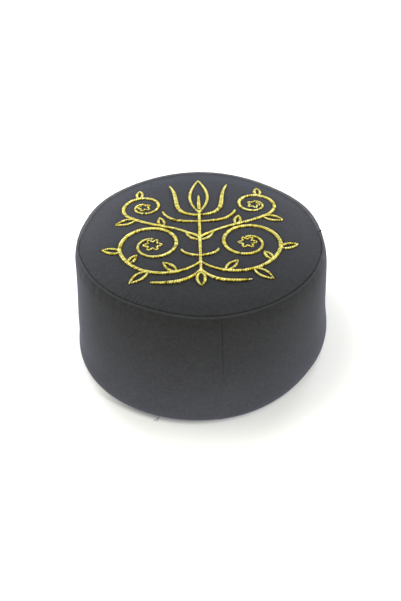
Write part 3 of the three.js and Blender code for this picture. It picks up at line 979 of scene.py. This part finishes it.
def cloth_material(name, dark, light, sheen, tint, pitch=TWILL_PITCH, worn_and_highlit=()):
    """Fine twill of black yarn: diagonal ribs, crossing yarns, uneven dye and a soft sheen.
    Lines along the grain can be painted lighter, a painted highlight where a fold catches light and partly
    wear: each as its place and half its width, in metres, and its colour."""
    graph = Graph(name)
    grain, places = graph.grain(), graph.places()
    ribs = graph.wave(grain, WAVE_SCALE / pitch, "DIAGONAL", **RIB_BENDS)
    yarns = graph.wave(grain, WAVE_SCALE / (YARN_SHARE * pitch), "Y")
    stretched = graph.add("Mapping", {"Vector": grain, "Scale": SLUB_SCALE}).outputs["Vector"]
    slubs = graph.noise(stretched, *SLUBS)
    blotches, mottle = graph.noise(places, *BLOTCHES), graph.noise(places, *MOTTLE)
    uneven = graph.total([(slubs, SLUB_DYE), (blotches, BLOTCH_DYE), (mottle, MOTTLE_DYE)], DYE_OFFSET)
    base = graph.mix(uneven, dark, light)
    color = graph.mix(RIB_DYE, base, graph.mix(ribs, base, light))
    patchy = graph.total([(mottle, WORN_AND_HIGHLIT_MOTTLE)], WORN_AND_HIGHLIT_OFFSET)
    # Painted highlight, partly wear: the colour turns lighter along each line near the fold's crest
    for line, half, rubbed_and_highlit in worn_and_highlit:
        near = graph.change(graph.away(graph.part(grain, "Y"), line), 0, half, 1, 0)
        color = graph.mix(graph.math("MULTIPLY", near, patchy, clamp=True), color, rubbed_and_highlit)
    fuzz = graph.noise(grain, *FUZZ)
    graph.bump(graph.total([(ribs, 1), (yarns, YARN_RELIEF), (fuzz, FUZZ_RELIEF)], 0), *CLOTH_BUMP)
    graph.fill(graph.shader, {
        "Base Color": color, "Roughness": 0.78, "Specular IOR Level": 0.28,
        "Sheen Weight": sheen, "Sheen Roughness": 0.42, "Sheen Tint": tint,
    })
    return graph.material


# A stitch's ends, as shares of its length away from its middle, are painted darker as shade
STITCH_MIDDLE = 0.5
SHADED_ENDS = (0.22, 0.42)
GOLD_PATCHES = (900, 2, 0.6)
GOLD_STRANDS = (6500, 1, 0.5)
# Weights of the tone's parts and its offset, and where the second of the three colours lies
STITCH_TONE = 0.95
PATCH_TONE = 1.7
END_SHADE = -0.8
TONE_OFFSET = -0.87
GOLD_MIDDLE = 0.5
GOLD_BUMP = (0.3, 0.00005)


def gold_material(name, colors, metal, rough):
    """Shiny gold yarn: each stitch has its own tone, on a ramp from painted shade through gold to painted
    highlight, with painted shade at its ends and fine twisted strands along it.
    """
    graph = Graph(name)
    grain, places = graph.grain(), graph.places()
    patches = graph.noise(places, *GOLD_PATCHES)
    ends = graph.change(graph.away(graph.part(grain, "Y"), STITCH_MIDDLE), *SHADED_ENDS, 0, 1)
    stitches = graph.part(grain, "X")
    tone = graph.total([(stitches, STITCH_TONE), (patches, PATCH_TONE), (ends, END_SHADE)], TONE_OFFSET)
    ramp = graph.add("ValToRGB", {"Fac": tone})
    ramp.color_ramp.elements.new(GOLD_MIDDLE)
    for element, color in zip(ramp.color_ramp.elements, colors):
        element.color = color
    graph.bump(graph.noise(places, *GOLD_STRANDS), *GOLD_BUMP)
    graph.fill(graph.shader, {
        "Base Color": ramp.outputs["Color"], "Metallic": metal, "Roughness": rough,
        "Specular IOR Level": 0.1,
    })
    return graph.material


# The band's lighter lines at its fold are painted highlight where the fold catches light, and partly wear
band_black = cloth_material(
    "band_black", dark=grey(0.0075), light=grey(0.022), sheen=0.095, tint=(0.68, 0.7, 1, 1),
    worn_and_highlit=[(-0.0008, 0.0011, (0.035, 0.035, 0.037, 1)), (0.001, 0.0016, (0.075, 0.075, 0.08, 1))])
# The top's cloth is the band's cloth painted darker, a painted shade because its face takes more light than
# the band, with more sheen
top_black_shaded = cloth_material(
    "top_black_shaded", dark=grey(0.001), light=grey(0.015), sheen=0.2, tint=(0.72, 0.76, 1, 1))
# A loose thread's grain is in shares of its length and girth, and so is the pitch of its yarn
loose_black = cloth_material(
    "loose_black", dark=(0.006, 0.006, 0.007, 1), light=(0.03, 0.03, 0.034, 1), sheen=0.1,
    tint=(0.7, 0.75, 1, 1), pitch=0.1)
# The gold's ramp runs from a dark brown painted shade, through gold, to a pale cream painted highlight
gold_yarn = gold_material(
    "gold_yarn", [(0.035, 0.02, 0.001, 1), (0.82, 0.64, 0.025, 1), (1, 0.97, 0.42, 1)],
    metal=0.6, rough=0.3)
# The ridge below the stitches is painted dark, as the shade between and beside them
gold_under_shade = gold_material(
    "gold_under_shade", [(0.03, 0.02, 0.001, 1), (0.07, 0.05, 0.004, 1), (0.14, 0.1, 0.01, 1)],
    metal=0.3, rough=0.6)

# Pieces

band_cloth = turned_object("band_cloth", band_angles(), band_section, band_grain, True, band_black)
top_angles = np.arange(-180, 180, 360 / PANEL_COLUMNS)
top_cloth = turned_object("top_cloth", top_angles, panel_section, panel_grain, False, top_black_shaded)
satin_stems = satin_object("satin_stems", ("stems", "scrolls"), gold_yarn)
satin_leaves = satin_object("satin_leaves", ("leaves",), gold_yarn)
satin_padding = padding_object("satin_padding", gold_under_shade)
hem_thread = thread_object("hem_thread", [
    (round_places(HEM_THREAD, hem_radius, 0), THREAD_THICK),
    (round_places(HEM_STRAND, hem_radius, 0), STRAND_THICK),
], loose_black)
rim_lint = thread_object("rim_lint", [
    (round_places(RIM_LINT, seam_radius, HEIGHT), LINT_THICK),
    (round_places(LINT_CURL, seam_radius, HEIGHT), THREAD_THICK),
], loose_black)

for piece, node, slot in (
    (band_cloth, "side_band", "black_cloth"),
    (top_cloth, "top_panel", "black_cloth"),
    (satin_stems, "gold_embroidery", "gold_thread"),
    (satin_leaves, "gold_embroidery", "gold_thread"),
    (satin_padding, "gold_embroidery", "gold_thread"),
):
    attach(piece, "root")
    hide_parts(node)
for piece in (hem_thread, rim_lint):
    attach(piece, "root")

# The camera, found from the outline and the seam in the photograph: radians, millimetres and pixels
LOOK_DOWN = 0.7064
ROLL = -0.0316
DISTANCE = 600.0
AIM_HEIGHT = 45.9
AIM_RIGHT = -0.577
AIM_UP = -11.11
FOCAL_PIXELS = 793.75
PHOTO_TALL = 601
SENSOR = 36.0
CLIP_START = 10.0

look = Vector((0, math.cos(LOOK_DOWN), -math.sin(LOOK_DOWN)))
level_up = Vector((0, math.sin(LOOK_DOWN), math.cos(LOOK_DOWN)))
level_right = Vector((1, 0, 0))
right = level_right * math.cos(ROLL) + level_up * math.sin(ROLL)
up = level_up * math.cos(ROLL) - level_right * math.sin(ROLL)
eye = Vector((0, 0, AIM_HEIGHT)) + right * AIM_RIGHT + up * AIM_UP - look * DISTANCE

camera_data = bpy.data.cameras.new("camera")
camera_data.sensor_width = SENSOR
camera_data.sensor_fit = "AUTO"
camera_data.lens = FOCAL_PIXELS * SENSOR / PHOTO_TALL
camera_data.clip_start = CLIP_START * MM
camera = bpy.data.objects.new("camera", camera_data)
turn = Matrix((right, up, -look)).transposed().to_4x4()
camera.matrix_world = Matrix.Translation(eye * MM) @ turn
bpy.context.scene.collection.objects.link(camera)
bpy.context.scene.camera = camera

# The floor, in millimetres
FLOOR_HALF = 3000.0
FLOOR_SINK = 0.05
# It glows more with the distance from a middle, a painted light that is weaker near the cap as painted
# shade: metres where that starts and stops, and the strengths
GLOW_MIDDLE = (0.01, 0.002, 0)
FLOOR_GLOW = (0.094, 0.143, 0.2, 0.57)
GLOW_COLOR = (1, 0.98, 0.94, 1)
# It has painted shade close to the hem at the front left: a middle, metres away from it, and metres along y
SHADE_MIDDLE = (-0.006, -0.002, 0)
SHADE_REACH = (0.0905, 0.0958)
SHADE_FRONT = (-0.085, -0.055)
SHADE_LEAST = 0.45
FLOOR_PALE = (0.62, 0.61, 0.58, 1)
FLOOR_SHADED = (0.08, 0.08, 0.08, 1)


def floor_material(name):
    """White ground with a painted glow that is weaker near the cap, and a line of painted shade where the
    cap stands on it.
    """
    graph = Graph(name)
    places = graph.places()
    glow = graph.change(graph.distance(places, GLOW_MIDDLE), *FLOOR_GLOW)
    # Painted shade: close to the hem at the front left the floor's colour and its glow are darker
    lit = graph.math(
        "MAXIMUM",
        graph.change(graph.distance(places, SHADE_MIDDLE), *SHADE_REACH, SHADE_LEAST, 1),
        graph.change(graph.part(places, "Y"), *SHADE_FRONT, SHADE_LEAST, 1))
    graph.fill(graph.shader, {
        "Base Color": graph.mix(lit, FLOOR_SHADED, FLOOR_PALE), "Roughness": 0.6, "Specular IOR Level": 0.1,
        "Emission Color": GLOW_COLOR, "Emission Strength": graph.math("MULTIPLY", glow, lit),
    })
    return graph.material


corners = np.array([(-1, -1), (1, -1), (1, 1), (-1, 1)], float)
floor_points = np.column_stack([corners * FLOOR_HALF, np.full(4, -FLOOR_SINK)])
floor = mesh_object("floor", floor_points, np.array([[0, 1, 2, 3]]), corners, floor_material("floor_white"))

# The lights, in metres and watts. The low ones are soft spots in front, just above the floor, that fade
# up the band: their distance from the middle, their height, and the height that they are aimed at.
WARM = (1, 0.93, 0.8)
BLUE = (0.6, 0.65, 1)
PALE_BLUE = (0.68, 0.72, 1)
COOL = (0.84, 0.86, 1)
AREA_LIGHTS = [
    dict(name="key_left", place=(-0.6, 0.12, 0.8), aim=0.05, size=0.45, power=1.8, color=WARM),
    dict(name="key_right", place=(0.6, 0.12, 0.8), aim=0.05, size=0.45, power=0.8, color=WARM),
    dict(name="left", place=(-0.6, 0, 0.17), aim=0.09, size=0.3, power=0.35, color=BLUE),
    dict(name="right", place=(0.6, 0, 0.17), aim=0.09, size=0.3, power=0.6, color=PALE_BLUE),
    dict(name="near_left", place=(-0.2, 0.2, 0.2), aim=0.09, size=0.12, power=0.78, color=COOL),
    dict(name="near_right", place=(0.2, 0.2, 0.2), aim=0.09, size=0.12, power=0.53, color=COOL),
]
LOW_LIGHTS = [(-165, 12), (-133, 20), (-106, 23), (-78, 23), (-50, 22), (-18, 12)]
LOW_FAR = 0.75
LOW_HIGH = 0.05
LOW_AIM = -0.032
LOW_SIZE = 0.06
LOW_DEGREES = 15
LOW_COLOR = (0.8, 0.82, 1)
WORLD_COLOR = (0.96, 1, 0.93, 1)
WORLD_STRENGTH = 0.9


def add_lamp(name, kind, place, aim, power, color):
    """A light at a place, turned to another."""
    data = bpy.data.lights.new(name, kind)
    data.energy = power
    data.color = color
    lamp = bpy.data.objects.new(name, data)
    lamp.location = place
    lamp.rotation_euler = (Vector(aim) - Vector(place)).to_track_quat("-Z", "Y").to_euler()
    bpy.context.scene.collection.objects.link(lamp)
    return lamp


for row in AREA_LIGHTS:
    lamp = add_lamp(row["name"], "AREA", row["place"], (0, 0, row["aim"]), row["power"], row["color"])
    lamp.data.shape = "DISK"
    lamp.data.size = row["size"]
    lamp.visible_camera = False
for degrees, power in LOW_LIGHTS:
    way = Vector((*direction(degrees), 0))
    place = way * LOW_FAR + Vector((0, 0, LOW_HIGH))
    aim = way * HEM_RADIUS * MM + Vector((0, 0, LOW_AIM))
    lamp = add_lamp("low_light", "SPOT", place, aim, power, LOW_COLOR)
    lamp.data.shadow_soft_size = LOW_SIZE
    lamp.data.spot_size = math.radians(LOW_DEGREES)
    lamp.data.spot_blend = 1

world = bpy.data.worlds.new("studio")
world.use_nodes = True
background = world.node_tree.nodes["Background"]
background.inputs["Color"].default_value = WORLD_COLOR
background.inputs["Strength"].default_value = WORLD_STRENGTH
bpy.context.scene.world = world
bpy.context.scene.view_settings.view_transform = "Standard"
